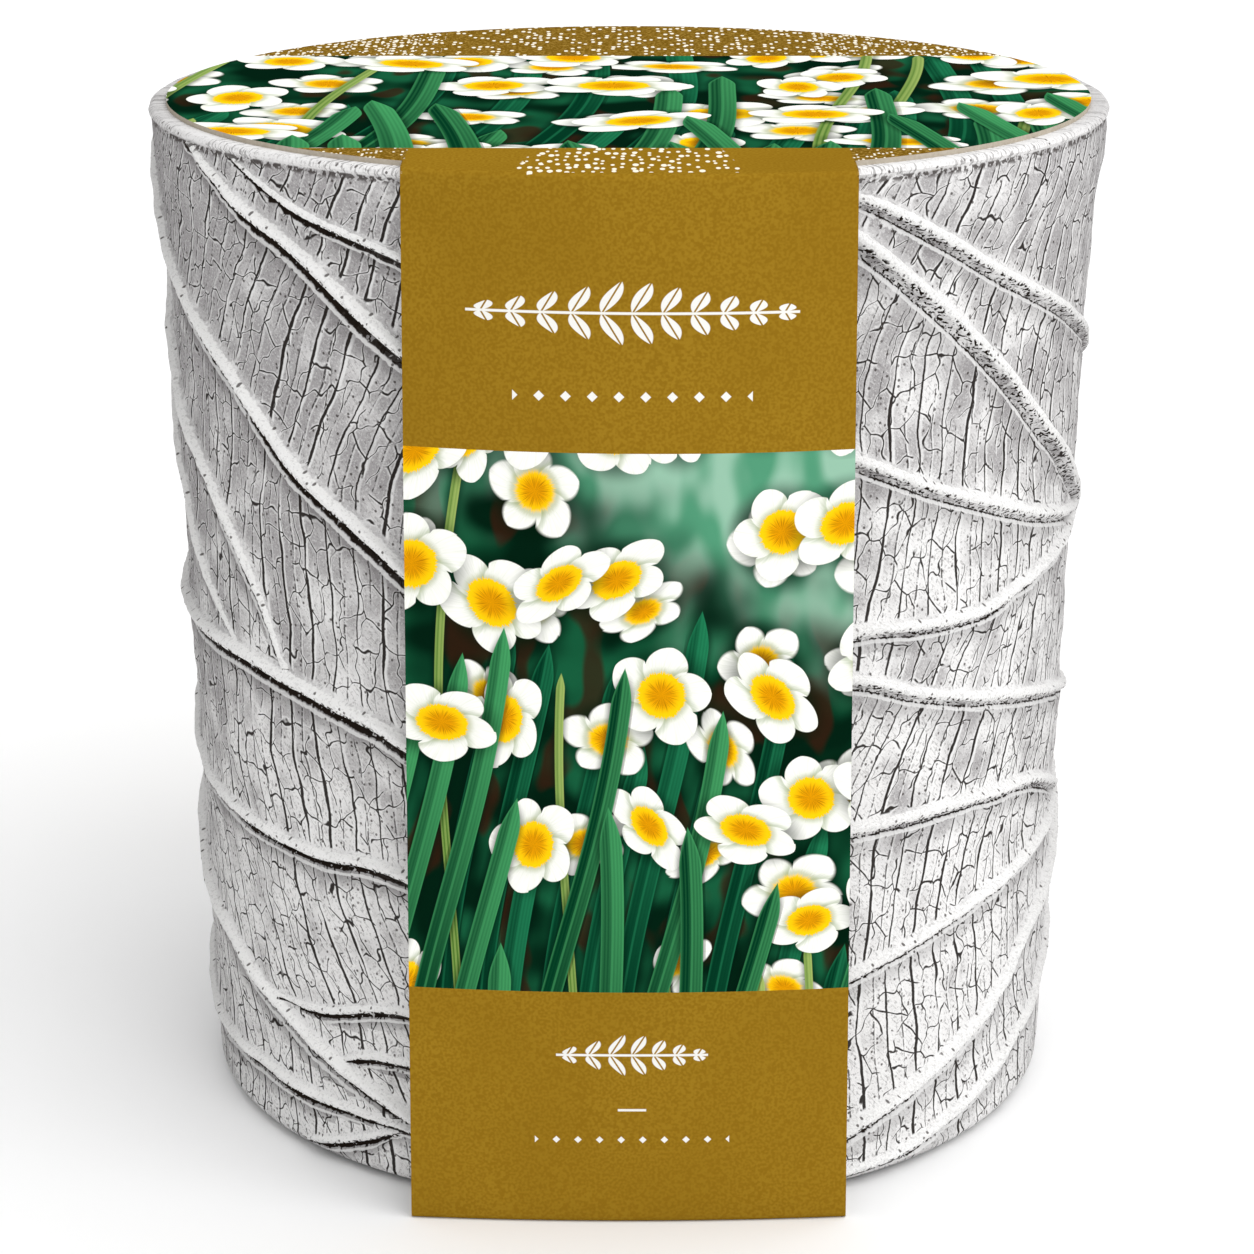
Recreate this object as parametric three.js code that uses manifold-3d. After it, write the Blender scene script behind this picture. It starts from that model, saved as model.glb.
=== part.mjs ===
// An indoor planter for bulbs: a round cast pot with the ribs of large leaves in
// relief, filled with growing medium and five small bulbs, and held in a folded
// card sleeve whose round top covers the mouth.
// Millimetres, +Z up. The origin is the middle of the underside of the sleeve's
// base panel, and the front of the sleeve faces -Y.

import * as THREE from 'three';
import { mergeVertices } from 'three/addons/utils/BufferGeometryUtils.js';
import Module from 'manifold-3d';

const wasm = await Module();
wasm.setup();

// Driving dimensions

const card = 0.6;
const height = 128.8;
const lipRadius = 60;
const neckRadius = 59;
const shoulderRadius = 57.7;
const footRadius = 54.8;
const wallThickness = 6;
const floorThickness = 8;
const neckBelowRim = 1.6;
const shoulderBelowRim = 23;
const potBase = card;
const potTop = height - card;
const potSides = 48;

const lidRadius = 57.8;
const stripTopWidth = 50.8;
const stripFootWidth = 52.8;
const foldDistance = 61;
const footDistance = 57.2;
const foldSag = 3.6;
const footSag = 1.2;
const crownShift = 4.4;
const lidSides = 72;
const stripColumns = 10;
const stripRows = 8;

const mediumBelowRim = 24;
const bulbRadius = 12;
const bulbLength = 33;
const bulbShown = 13;
const bulbCircle = 29;
const bulbCount = 5;
const bulbTurn = 0.4;
const bulbSides = 16;
const clearance = 0.3;

// Solids

const degrees = THREE.MathUtils.degToRad;

function solid(geometry) {
  geometry.deleteAttribute('normal');
  geometry.deleteAttribute('uv');
  const merged = mergeVertices(geometry, 1e-4);
  return new wasm.Manifold(new wasm.Mesh({
    numProp: 3,
    vertProperties: new Float32Array(merged.attributes.position.array),
    triVerts: new Uint32Array(merged.index.array),
  }));
}

function lathe(profile, segments) {
  const points = profile.map(([radius, z]) => new THREE.Vector2(radius, z));
  return solid(new THREE.LatheGeometry(points, segments).rotateX(Math.PI / 2));
}

// A geometry of unit size with each of its corners moved by place(x, y, z).
function bent(geometry, place) {
  const position = geometry.attributes.position;
  for (let i = 0; i < position.count; i += 1) {
    const [x, y, z] = place(position.getX(i), position.getY(i), position.getZ(i));
    position.setXYZ(i, x, y, z);
  }
  return solid(geometry);
}

function joined(solids) {
  return wasm.Manifold.union(solids);
}

function mesh(name, shape, material) {
  const { vertProperties, triVerts } = shape.getMesh();
  const geometry = new THREE.BufferGeometry();
  geometry.setAttribute('position', new THREE.BufferAttribute(vertProperties, 3));
  geometry.setIndex(new THREE.BufferAttribute(triVerts, 1));
  geometry.computeVertexNormals();
  const made = new THREE.Mesh(geometry, material);
  made.name = name;
  return made;
}

// The pot's wall tapers to its foot and flares a little to its lip. Angles are in
// degrees round the pot, 0 at the front and rising to the right as seen from the
// front.

const neckHeight = potTop - neckBelowRim;
const shoulderHeight = potTop - shoulderBelowRim;

function wallRadius(z) {
  return z < shoulderHeight
    ? THREE.MathUtils.mapLinear(z, potBase, shoulderHeight, footRadius, shoulderRadius)
    : THREE.MathUtils.mapLinear(z, shoulderHeight, neckHeight, shoulderRadius, neckRadius);
}

function onWall(angle, z, lift) {
  const radius = wallRadius(z) + lift;
  return [radius * Math.sin(degrees(angle)), -radius * Math.cos(degrees(angle)), z];
}

const potFloor = potBase + floorThickness;
const mouthRadius = lipRadius - wallThickness;
const cavityFootRadius = footRadius - wallThickness;

const potBody = lathe([
  [0, potBase],
  [footRadius - 1.6, potBase],
  [footRadius - 0.4, potBase + 0.6],
  [footRadius + 0.05, potBase + 2],
  [shoulderRadius, shoulderHeight],
  [neckRadius, neckHeight],
  [lipRadius - 0.2, neckHeight + 0.3],
  [lipRadius, neckHeight + 0.8],
  [lipRadius - 0.4, potTop - 0.3],
  [lipRadius - 1.4, potTop],
  [mouthRadius + 0.8, potTop],
  [mouthRadius, potTop - 0.8],
  [cavityFootRadius, potFloor + 5],
  [cavityFootRadius - 1.5, potFloor + 1.5],
  [cavityFootRadius - 5, potFloor],
  [0, potFloor],
], potSides);

// The ribs of the leaves: each is a width and a height above the wall, and the
// places that its crest passes, as [angle, height above the floor].

const broad = [2.3, 1.5];
const middling = [1.8, 1.2];
const fine = [1.3, 0.9];

const leftRibs = [
  [broad, [-60, 127], [-50, 122], [-40, 117], [-26, 107], [-12, 98], [0, 89]],
  [fine, [-51, 127], [-39, 122], [-26, 118], [-12, 112], [0, 106]],
  [broad, [-98, 125], [-80, 114], [-65, 106], [-54, 100], [-44, 92], [-27, 81], [0, 62]],
  [broad, [-96, 111], [-84, 101], [-74, 93], [-61, 84], [-52, 74], [-47, 65]],
  [middling, [-92, 96], [-82, 88], [-68, 74], [-58, 66]],
  [broad, [-92, 68], [-80, 65], [-58, 65], [-48, 64], [-37, 62], [-27, 59], [0, 46]],
  [middling, [-104, 57], [-90, 50], [-76, 45], [-62, 43], [-43, 42], [-28, 42], [0, 32]],
  [broad, [-94, 38], [-80, 30], [-66, 25], [-57, 21], [-41, 15], [-29, 10], [-12, 4]],
  [middling, [-92, 16], [-76, 10], [-63, 9.5], [-46, 9], [-29, 8]],
  [fine, [-54, 20], [-43, 21], [-28, 24], [-10, 20]],
  [fine, [-40, 15], [-34, 17], [-22, 17]],
  [fine, [-47, 2], [-40, 4], [-32, 7]],
];

const rightRibs = [
  [middling, [14, 127], [25, 125], [32, 122], [49, 113], [70, 104], [84, 98]],
  [broad, [4, 127], [18, 124], [26, 120], [39, 110], [50, 101], [61, 92], [82, 78]],
  [middling, [0, 106], [14, 99], [27, 94], [41, 88], [62, 81], [83, 77]],
  [middling, [0, 68], [14, 71], [28, 73], [47, 72], [69, 75], [81, 77]],
  [middling, [0, 70], [14, 69], [28, 67], [40, 63], [61, 58], [88, 52]],
  [middling, [0, 44], [14, 47], [28, 48], [44, 48], [55, 47], [66, 45], [82, 39]],
  [middling, [0, 22], [14, 26], [29, 29], [46, 33], [68, 36], [81, 38]],
  [broad, [0, 2], [14, 4], [30, 8.5], [43, 13], [53, 17], [66, 25], [80, 31], [92, 38]],
  [middling, [24, 2], [37, 3], [46, 5], [57, 8], [68, 12], [82, 17], [94, 24]],
];

const frontMidrib = [broad, [-3, 2], [-1, 40], [0, 80], [2, 126]];

// The leaf at the back: a midrib with pairs of side ribs that rise from it and
// bend up towards the leaf's edge.

const backMidrib = [broad, [183, 2], [181, 40], [179, 85], [178, 126]];
const backPairs = 8;
const backPitch = 16.5;
const backReach = 90;
const backRise = 31;

function backRibs() {
  const ribs = [];
  for (let pair = 0; pair < backPairs; pair += 1) {
    for (const side of [-1, 1]) {
      const root = -16 + backPitch * (pair + (side > 0 ? 0.3 : 0));
      const points = [0, 0.25, 0.5, 0.75, 1].map((t) => [
        180 + side * backReach * t,
        root + backRise * t ** 1.25 + 2 * Math.sin(4 * t + pair),
      ]);
      const kept = points.filter(([, z]) => z > potBase + 1.5 && z < potTop - 2);
      if (kept.length > 2) ribs.push([pair % 2 ? middling : broad, ...kept]);
    }
  }
  return ribs;
}

const ribs = [...leftRibs, ...rightRibs, frontMidrib, ...backRibs(), backMidrib];
const ribStep = 12;
const ridgeRoot = -0.8;
const ridgeEnd = 0.35;

// A ridge along a line of [angle, height] points: a bar of three or more sides with
// one edge for its crest, sunk in the wall by its foot and fading out at both ends.
function ridge([width, lift], points, steps, sides) {
  const perDegree = degrees((footRadius + shoulderRadius) / 2);
  const line = new THREE.SplineCurve(points.map(([angle, z]) => new THREE.Vector2(angle * perDegree, z)));
  const bar = new THREE.CylinderGeometry(1, 1, 1, sides, steps);
  const foot = -Math.cos(Math.PI / sides);
  const spread = sides > 3 ? 0.53 * width : 0.58 * width * (1 - ridgeRoot / lift);
  return bent(bar, (x, y, z) => {
    const along = 0.5 - y;
    const fade = ridgeEnd + (1 - ridgeEnd) * Math.min(1, 5 * along, 5 * (1 - along));
    const crest = line.getPoint(along);
    const heading = line.getTangent(along);
    const aside = x * spread * fade;
    const angle = (crest.x - heading.y * aside) / perDegree;
    const level = crest.y + heading.x * aside;
    return onWall(angle, level, THREE.MathUtils.mapLinear(z, foot, 1, ridgeRoot, lift * fade));
  });
}

function ribRidge([size, ...points]) {
  const first = points[0];
  const last = points[points.length - 1];
  const length = Math.hypot(last[0] - first[0], last[1] - first[1]);
  return ridge(size, points, Math.max(4, Math.round(length / ribStep)), size === broad ? 5 : 3);
}

// The cross veins that join each rib to the next one below it, on columns set
// evenly round the pot. Every column leans a little, one way or the other.

const veinColumns = 16;
const firstColumn = -95;
const veinSize = [0.9, 0.45];
const veinLean = 5;
const shortestVein = 6;
const veinGap = 1.4;

function ribHeight([, ...points], angle) {
  const line = new THREE.SplineCurve(points.map((point) => new THREE.Vector2(...point)));
  const samples = line.getPoints(40).sort((a, b) => a.x - b.x);
  const after = samples.findIndex((sample) => sample.x >= angle);
  if (after < 1) return null;
  const [low, high] = [samples[after - 1], samples[after]];
  return THREE.MathUtils.mapLinear(angle, low.x, high.x, low.y, high.y);
}

function crossVeins() {
  const veins = [];
  for (let column = 0; column < veinColumns; column += 1) {
    const angle = firstColumn + (360 * (column + 0.5)) / veinColumns;
    const heights = ribs.map((rib) => ribHeight(rib, angle)).filter((z) => z !== null);
    heights.push(neckHeight);
    heights.push(potBase + 2);
    heights.sort((a, b) => b - a);
    for (let k = 1; k < heights.length; k += 1) {
      const [upper, lower] = [heights[k - 1], heights[k]];
      if (upper - lower < shortestVein) continue;
      const lean = veinLean * Math.sin(2.1 * k + 0.7 * column);
      const bend = 0.35 * veinLean * Math.cos(1.3 * k + column);
      const points = [
        [angle + lean / 2, upper - veinGap],
        [angle + bend, (upper + lower) / 2],
        [angle - lean / 2, lower + veinGap],
      ];
      veins.push(ridge(veinSize, points, 2, 3));
    }
  }
  return veins;
}

const pot = joined([potBody, ...ribs.map(ribRidge), ...crossVeins()]);

// The growing medium, a plug that fills the pot to below the rim, and the bulbs
// that stand in plain holes in it.

const mediumTop = potTop - mediumBelowRim;

function cavityRadius(z) {
  return THREE.MathUtils.mapLinear(z, potFloor + 5, potTop - 0.8, cavityFootRadius, mouthRadius);
}

const mediumPlug = lathe([
  [0, potFloor],
  [cavityFootRadius - 5 - clearance, potFloor],
  [cavityFootRadius - 1.5 - 1.5 * clearance, potFloor + 1.5 + clearance],
  [cavityFootRadius - clearance, potFloor + 5 + clearance],
  [cavityRadius(mediumTop) - clearance, mediumTop - 1.5],
  [cavityRadius(mediumTop) - 3, mediumTop],
  [bulbCircle + bulbRadius, mediumTop + 1],
  [0, mediumTop + 1.6],
], potSides);

function bulbPlace(index) {
  const turn = (2 * Math.PI * index) / (bulbCount - 1) + bulbTurn;
  const reach = index === bulbCount - 1 ? 0 : bulbCircle;
  return [reach * Math.sin(turn), reach * Math.cos(turn)];
}

const bulbFoot = mediumTop + bulbShown - bulbLength;

// A bulb is turned to an outline of [radius, height] shares: a flat basal plate, a
// plump body and a drawn-in neck with a dry tip. Its hole clears it all round.
const bulbOutline = [
  [0, 0],
  [0.3, 0],
  [0.66, 0.07],
  [0.94, 0.22],
  [1, 0.36],
  [0.9, 0.52],
  [0.62, 0.68],
  [0.34, 0.8],
  [0.22, 0.92],
  [0.1, 1],
  [0, 1],
];
const holeWidening = 2 * clearance;

function turned(outline, index) {
  const [x, y] = bulbPlace(index);
  return lathe(outline, bulbSides).translate([x, y, bulbFoot]);
}

function bulb(index) {
  const outline = bulbOutline.map(([radius, rise]) => [radius * bulbRadius, rise * bulbLength]);
  return turned(outline, index);
}

function bulbHole(index) {
  const lower = bulbOutline.slice(1, 5).map(([radius, rise]) => [
    radius * bulbRadius + holeWidening,
    Math.max(0, rise * bulbLength - clearance),
  ]);
  return turned([[0, 0], ...lower, [bulbRadius + holeWidening, bulbLength], [0, bulbLength]], index);
}

const bulbs = Array.from({ length: bulbCount }, (_, index) => bulb(index));
const holes = bulbs.map((_, index) => bulbHole(index));
const medium = mediumPlug.subtract(joined(holes));

// The card sleeve: a round lid on the rim, folded down at the front and the back
// into two strips that meet a base panel under the pot. Each strip bows outwards,
// and the crown of the front strip's bow is shifted a little to the right at the top.

function stripWidth(z) {
  return THREE.MathUtils.mapLinear(z, 0, height, stripFootWidth, stripTopWidth);
}

function stripFace(x, z, shift) {
  const across = (x - shift * (z / height)) / (stripWidth(z) / 2);
  const distance = THREE.MathUtils.mapLinear(z, 0, height, footDistance, foldDistance);
  const sag = THREE.MathUtils.mapLinear(z, 0, height, footSag, foldSag);
  return distance - sag * across ** 2;
}

function strip(shift) {
  return bent(new THREE.BoxGeometry(1, 1, 1, stripColumns, 1, stripRows), (x, y, z) => {
    const level = (z + 0.5) * height;
    const aside = x * stripWidth(level);
    return [aside, -stripFace(aside, level, shift) + (y + 0.5) * card, level];
  });
}

function flap(level, shift) {
  return bent(new THREE.BoxGeometry(1, 1, 1, stripColumns, 1, 1), (x, y, z) => {
    const aside = x * stripWidth(level);
    const out = y < 0 ? -stripFace(aside, level, shift) : 0;
    return [aside, out, level + (level > 0 ? z - 0.5 : z + 0.5) * card];
  });
}

function halfSleeve(shift) {
  return joined([strip(shift), flap(height, shift), flap(0, shift)]);
}

const lid = lathe([[0, potTop], [lidRadius, potTop], [lidRadius, height], [0, height]], lidSides);
const sleeve = joined([lid, halfSleeve(crownShift), halfSleeve(0).rotate([0, 0, 180])]);

// Materials and the finished group

const whitewash = new THREE.MeshStandardMaterial({ color: 0xc9c7c8, roughness: 0.85, metalness: 0 });
const ochreCard = new THREE.MeshStandardMaterial({ color: 0x997427, roughness: 0.6, metalness: 0.1 });
const soil = new THREE.MeshStandardMaterial({ color: 0x4a3626, roughness: 0.95, metalness: 0 });
const tunic = new THREE.MeshStandardMaterial({ color: 0x8a5a30, roughness: 0.7, metalness: 0 });

const planter = new THREE.Group();
planter.add(mesh('pot', pot, whitewash));
planter.add(mesh('card_sleeve', sleeve, ochreCard));
planter.add(mesh('growing_medium', medium, soil));
bulbs.forEach((shape, index) => planter.add(mesh(`bulb_${index + 1}`, shape, tunic)));

export default planter;
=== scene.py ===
"""An indoor bulb planter: a leaf-ribbed cast pot in a printed card sleeve, dressed for its picture."""

import math

import bpy
import numpy as np
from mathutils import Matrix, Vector, noise


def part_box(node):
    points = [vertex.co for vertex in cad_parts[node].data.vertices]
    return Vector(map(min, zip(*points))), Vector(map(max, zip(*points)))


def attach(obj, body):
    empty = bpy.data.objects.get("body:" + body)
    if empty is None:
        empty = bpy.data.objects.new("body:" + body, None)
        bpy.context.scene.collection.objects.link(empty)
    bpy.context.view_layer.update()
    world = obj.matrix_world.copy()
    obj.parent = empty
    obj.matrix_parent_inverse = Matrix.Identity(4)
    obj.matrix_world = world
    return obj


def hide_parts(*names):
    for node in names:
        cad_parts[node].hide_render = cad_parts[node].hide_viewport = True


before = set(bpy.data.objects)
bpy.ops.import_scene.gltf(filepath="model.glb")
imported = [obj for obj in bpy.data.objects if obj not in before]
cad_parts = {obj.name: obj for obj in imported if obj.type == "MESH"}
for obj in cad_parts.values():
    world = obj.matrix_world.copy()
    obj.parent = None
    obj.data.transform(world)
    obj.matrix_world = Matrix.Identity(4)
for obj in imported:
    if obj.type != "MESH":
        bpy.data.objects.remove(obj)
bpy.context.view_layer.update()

# The camera and the studio.
# The planter is seen from the front and a little above, through a long lens, on a plain
# white floor under soft light that comes mostly from the upper right.
mm = 0.001
bpy.context.scene.view_settings.view_transform = "Standard"
bpy.context.scene.cycles.diffuse_bounces = 2

camera_place = (-0.2 * mm, -450 * mm, 198.3 * mm)
camera_tilt = math.radians(72.67)
bpy.ops.object.select_all(action="DESELECT")
bpy.ops.object.camera_add(location=camera_place, rotation=(camera_tilt, 0, 0))
camera = bpy.context.object
camera.name = "camera"
camera.data.lens = 102.7
camera.data.sensor_width = 36
camera.data.clip_start = 0.01
bpy.context.scene.camera = camera


def add_sun(name, tilt, turn, strength, softness):
    """A light from tilt degrees off straight down, turned round by turn degrees from the front."""
    bpy.ops.object.light_add(type="SUN", rotation=(math.radians(tilt), 0, math.radians(turn)))
    sun = bpy.context.object
    sun.name = name
    sun.data.energy = strength
    sun.data.angle = math.radians(softness)


add_sun("key_light", tilt=42, turn=40, strength=0.9, softness=50)


def feed(socket, value):
    """Links a shader input to a field or an output, or sets it to a plain value."""
    if isinstance(value, Field):
        value = value.socket
    if isinstance(value, bpy.types.NodeSocket):
        socket.id_data.links.new(value, socket)
    else:
        socket.default_value = value


class Field:
    """A number that varies over a surface. Arithmetic on it adds Math nodes to its material."""

    def __init__(self, socket):
        self.socket = socket

    def step(self, operation, *others):
        made = self.socket.id_data.nodes.new("ShaderNodeMath")
        made.operation = operation
        for slot, value in zip(made.inputs, (self, *others)):
            feed(slot, value)
        return Field(made.outputs[0])

    def __add__(self, other):
        return self.step("ADD", other)

    def __sub__(self, other):
        return self.step("SUBTRACT", other)

    def __mul__(self, other):
        return self.step("MULTIPLY", other)

    def __truediv__(self, other):
        return self.step("DIVIDE", other)

    def __rsub__(self, other):
        return self.step("MULTIPLY_ADD", -1.0, other)

    def __abs__(self):
        return self.step("ABSOLUTE")

    __radd__ = __add__
    __rmul__ = __mul__


def add_node(tree, kind, inputs, **settings):
    """A shader node with its settings made and the named or numbered inputs fed."""
    made = tree.nodes.new("ShaderNode" + kind)
    for name, value in settings.items():
        setattr(made, name, value)
    for name, value in inputs.items():
        feed(made.inputs[name], value)
    return made


def ramp(field, low, high):
    """A smooth rise from 0 where the field is low to 1 where it is high."""
    inputs = {"Value": field, "From Min": low, "From Max": high}
    made = add_node(field.socket.id_data, "MapRange", inputs, interpolation_type="SMOOTHSTEP")
    return Field(made.outputs["Result"])


def larger(first, *others):
    """The largest of several fields, place by place."""
    for other in others:
        first = first.step("MAXIMUM", other)
    return first


def parted(socket):
    """A vector's three parts as fields."""
    made = add_node(socket.id_data, "SeparateXYZ", {0: socket})
    return [Field(output) for output in made.outputs]


world = bpy.context.scene.world or bpy.data.worlds.new("studio")
bpy.context.scene.world = world
world.use_nodes = True
backdrop = world.node_tree.nodes["Background"]
backdrop.inputs["Color"].default_value = (1, 1, 1, 1)
to_right, to_rear, to_top = parted(add_node(world.node_tree, "TexCoord", {}).outputs["Generated"])
towards_light = to_right * 0.55 + to_top * 1.1 - to_rear * 0.3
feed(backdrop.inputs["Strength"], 0.24 + ramp(towards_light, -0.5, 1.2) * 0.98)


def mixed(share, first, second):
    """The first colour where share is 0, turning to the second where it is 1."""
    inputs = {0: share, 6: first, 7: second}
    made = add_node(share.socket.id_data, "Mix", inputs, data_type="RGBA")
    return made.outputs[2]


def grain(place, size, detail=2.0, roughness=0.5, dimensions="3D"):
    """Noise from 0 to 1, with lumps of that size in the units of the place."""
    inputs = {"Vector": place, "Scale": 1 / size, "Detail": detail, "Roughness": roughness}
    made = add_node(place.id_data, "TexNoise", inputs, noise_dimensions=dimensions)
    return Field(made.outputs["Fac"])


def new_material(name):
    """An empty material with a Principled shader, ready for its colour and bump."""
    material = bpy.data.materials.new(name)
    material.use_nodes = True
    shader = material.node_tree.nodes["Principled BSDF"]
    return material, material.node_tree, shader


def object_place(tree):
    """The place on the object in millimetres, as a vector and as its parts."""
    place = add_node(tree, "TexCoord", {}).outputs["Object"]
    scaled = add_node(tree, "VectorMath", {0: place, 3: 1 / mm}, operation="SCALE").outputs[0]
    return scaled, parted(scaled)


floor_size = 60
below_foot = -0.02 * mm
bpy.ops.mesh.primitive_plane_add(size=floor_size, location=(0, 0, below_foot))
floor = bpy.context.object
floor.name = "floor"
bpy.ops.object.transform_apply(location=True, rotation=True, scale=True)
floor_paint, _, floor_shader = new_material("floor_paint")
floor_shader.inputs["Roughness"].default_value = 1.0
floor_shader.inputs["Specular IOR Level"].default_value = 0.0
floor_shader.inputs["Base Color"].default_value = (0.955, 0.955, 0.955, 1)
floor.data.materials.append(floor_paint)

# The pot.
# One casting in a cement-like body, with the ribs and veins of large leaves in relief. It was
# whitewashed and wiped: the wash is thick on the ribs and dark stain is left in every crevice.
pot_low, pot_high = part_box("pot")
pot_base = pot_low.z / mm
pot_top = pot_high.z / mm
lip_radius = pot_high.x / mm
neck_radius = 59.7
collar_radius = 59.5
waist_radius = 58.6
shoulder_radius = 58
foot_radius = 55.1
wall_thickness = 6
floor_thickness = 8
neck_height = pot_top - 1.15
collar_height = pot_top - 6.5
waist_height = pot_top - 12
shoulder_height = pot_top - 23
pot_floor = pot_base + floor_thickness
mouth_radius = lip_radius - wall_thickness
cavity_foot = foot_radius - wall_thickness
pot_columns = 330
wall_step = 1.15

pot_profile = [
    (0.001, pot_base, 8),
    (foot_radius - 3, pot_base, 8),
    (foot_radius - 1.6, pot_base, 0.7),
    (foot_radius - 0.4, pot_base + 0.6, 0.5),
    (foot_radius + 0.05, pot_base + 2, 0.7),
    (shoulder_radius, shoulder_height, wall_step),
    (waist_radius, waist_height, wall_step),
    (collar_radius, collar_height, wall_step),
    (neck_radius, neck_height, wall_step),
    (lip_radius - 0.2, neck_height + 0.2, 0.5),
    (lip_radius, neck_height + 0.5, 0.5),
    (lip_radius - 0.15, pot_top - 0.25, 0.5),
    (lip_radius - 0.6, pot_top, 0.5),
    (lip_radius - 1.6, pot_top, 0.9),
    (mouth_radius + 1.2, pot_top, 1.2),
    (mouth_radius + 0.3, pot_top - 0.3, 1),
    (mouth_radius, pot_top - 1.2, 1),
    (cavity_foot, pot_floor + 5, 9),
    (cavity_foot - 1.5, pot_floor + 1.5, 4),
    (cavity_foot - 5, pot_floor, 4),
    (0.001, pot_floor, 16),
]


def spin_profile(name, profile, columns):
    """Draws half of a section as a chain of edges, each span in steps of its length in
    millimetres, and spins it round the upright axis into a closed piece."""
    radius, level, _ = profile[0]
    bpy.ops.object.select_all(action="DESELECT")
    bpy.ops.mesh.primitive_plane_add(size=mm, location=(radius * mm, 0, level * mm))
    piece = bpy.context.object
    piece.name = name
    bpy.ops.object.transform_apply(location=True, rotation=True, scale=True)
    bpy.ops.object.mode_set(mode="EDIT")
    bpy.ops.mesh.select_mode(type="VERT")
    bpy.ops.mesh.select_all(action="SELECT")
    bpy.ops.mesh.merge(type="CENTER")
    for next_radius, next_level, step in profile[1:]:
        count = max(1, round(math.dist((radius, level), (next_radius, next_level)) / step))
        move = ((next_radius - radius) / count * mm, 0, (next_level - level) / count * mm)
        for _ in range(count):
            bpy.ops.mesh.extrude_region_move(TRANSFORM_OT_translate={"value": move})
        radius, level = next_radius, next_level
    bpy.ops.mesh.select_all(action="SELECT")
    bpy.ops.mesh.spin(steps=columns, angle=2 * math.pi, center=(0, 0, 0), axis=(0, 0, 1))
    bpy.ops.mesh.select_all(action="SELECT")
    bpy.ops.mesh.remove_doubles(threshold=0.005 * mm)
    bpy.ops.mesh.normals_make_consistent(inside=False)
    bpy.ops.object.mode_set(mode="OBJECT")
    return piece


def vertex_places(piece):
    """The piece's vertices in millimetres, a row for each."""
    places = np.empty(len(piece.data.vertices) * 3, np.float32)
    piece.data.vertices.foreach_get("co", places)
    return places.reshape(-1, 3).astype(float) / mm


def move_vertices(piece, places):
    """Puts the piece's vertices at places in millimetres."""
    piece.data.vertices.foreach_set("co", (places * mm).astype(np.float32).ravel())
    piece.data.update()


def lumps(places, size):
    """Smooth noise at each place, with lumps of that size in millimetres."""
    return np.array([noise.noise(Vector(place) / size) for place in places])


def wall_radius(level):
    """The radius of the pot's plain wall at a height: a long taper, then a short collar."""
    levels = (pot_base, shoulder_height, waist_height, collar_height, neck_height)
    radii = (foot_radius, shoulder_radius, waist_radius, collar_radius, neck_radius)
    return np.interp(level, levels, radii)


# Each rib is a half width, a height above the wall, and the places that its crest passes, as
# degrees round the pot (0 at the front, rising to the right) and millimetres above the floor.
broad = (0.86, 1.1)
middling = (0.7, 0.85)
fine = (0.52, 0.6)

left_ribs = [
    [broad, (-60, 127), (-50, 122), (-40, 117), (-26, 107), (-12, 98), (0, 89)],
    [fine, (-51, 127), (-39, 122), (-26, 118), (-12, 112), (0, 106)],
    [broad, (-112, 134), (-98, 125), (-80, 114), (-65, 106), (-54, 100), (-44, 92), (-27, 81), (0, 62)],
    [broad, (-108, 121), (-96, 111), (-84, 101), (-74, 93), (-61, 84), (-52, 74), (-47, 65)],
    [middling, (-104, 106), (-92, 96), (-82, 88), (-68, 74), (-58, 66)],
    [broad, (-104, 72), (-92, 68), (-80, 65), (-58, 65), (-48, 64), (-37, 62), (-27, 59), (0, 46)],
    [middling, (-104, 57), (-90, 50), (-76, 45), (-62, 43), (-43, 42), (-28, 42), (0, 32)],
    [broad, (-108, 47), (-94, 38), (-80, 30), (-66, 25), (-57, 21), (-41, 15), (-29, 10), (-12, 4)],
    [middling, (-106, 24), (-92, 16), (-76, 10), (-63, 9.5), (-46, 9), (-29, 8)],
    [fine, (-54, 20), (-43, 21), (-28, 24), (-10, 20)],
    [fine, (-40, 15), (-34, 17), (-22, 17)],
    [fine, (-47, 2), (-40, 4), (-32, 7)],
]
right_ribs = [
    [middling, (14, 127), (25, 125), (32, 122), (49, 113), (70, 104), (84, 98), (98, 92)],
    [broad, (4, 127), (18, 124), (26, 120), (39, 110), (50, 101), (61, 92), (82, 78), (96, 68)],
    [middling, (0, 106), (14, 99), (27, 94), (41, 88), (62, 81), (83, 77), (98, 77)],
    [middling, (0, 68), (14, 71), (28, 73), (47, 72), (69, 75), (81, 77), (97, 82)],
    [middling, (0, 70), (14, 69), (28, 67), (40, 63), (61, 58), (88, 52), (102, 50)],
    [middling, (0, 44), (14, 47), (28, 48), (44, 48), (55, 47), (66, 45), (82, 39), (97, 34)],
    [middling, (0, 22), (14, 26), (29, 29), (46, 33), (68, 36), (81, 38), (97, 42)],
    [broad, (0, 2), (14, 4), (30, 8.5), (43, 13), (53, 17), (66, 25), (80, 31), (92, 38), (104, 46)],
    [middling, (24, 2), (37, 3), (46, 5), (57, 8), (68, 12), (82, 17), (94, 24), (106, 32)],
]
midribs = [
    [broad, (-3, 2), (-1, 40), (0, 80), (2, 126)],
    [broad, (183, 2), (181, 40), (179, 85), (178, 126)],
]


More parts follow.
